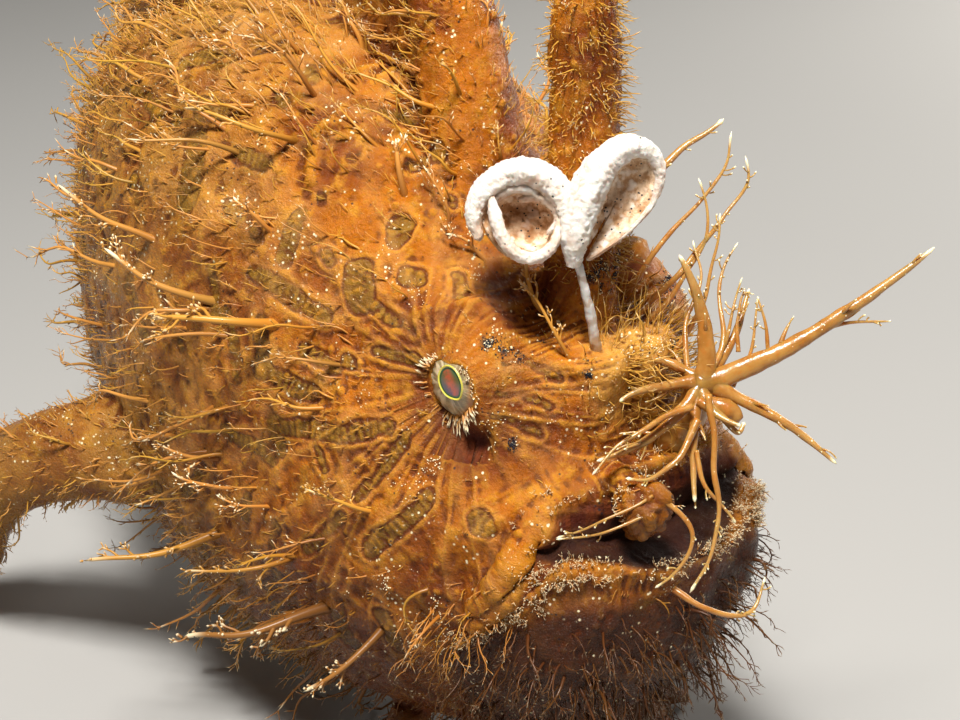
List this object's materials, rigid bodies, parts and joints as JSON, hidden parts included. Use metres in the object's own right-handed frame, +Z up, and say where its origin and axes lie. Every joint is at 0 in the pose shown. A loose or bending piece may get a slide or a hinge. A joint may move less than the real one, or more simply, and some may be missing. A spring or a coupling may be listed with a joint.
{
  "type": "hairy frogfish",
  "caption": "Life-size hairy frogfish sitting on its arm-like fins, orange and shaggy, with a worm-like lure, a star-shaped snout feeler and its tail curled to the left.",
  "frame": {"origin": "on the floor under the middle of the fish's box", "axes": "+X towards the snout, +Y towards the fish's left side, +Z up"},
  "size_m": [0.1132, 0.0718, 0.0751],
  "materials": {
    "skin": "soft orange skin with olive bars, fine grain and a coat of branched filaments",
    "feeler": "smooth translucent tan",
    "lure": "rough cream and pink",
    "eye": "wet, dark, with a thin yellow-green ring"
  },
  "bodies": {
    "root": {"head": "skin", "lower_jaw": "skin", "trunk": "skin", "tail_stalk": "skin", "dorsal_spine_2": "skin", "dorsal_spine_3": "skin", "dorsal_fin": "skin", "anal_fin": "skin", "caudal_fin": "skin", "pectoral_arm_right": "skin", "pectoral_arm_left": "skin", "pectoral_fin_right": "skin", "pectoral_fin_left": "skin", "pelvic_fin_right": "skin", "pelvic_fin_left": "skin", "illicium": "feeler", "snout_tuft": "feeler", "esca_right": "lure", "esca_left": "lure", "eye_right": "eye", "eye_left": "eye"}
  },
  "joints": []
}
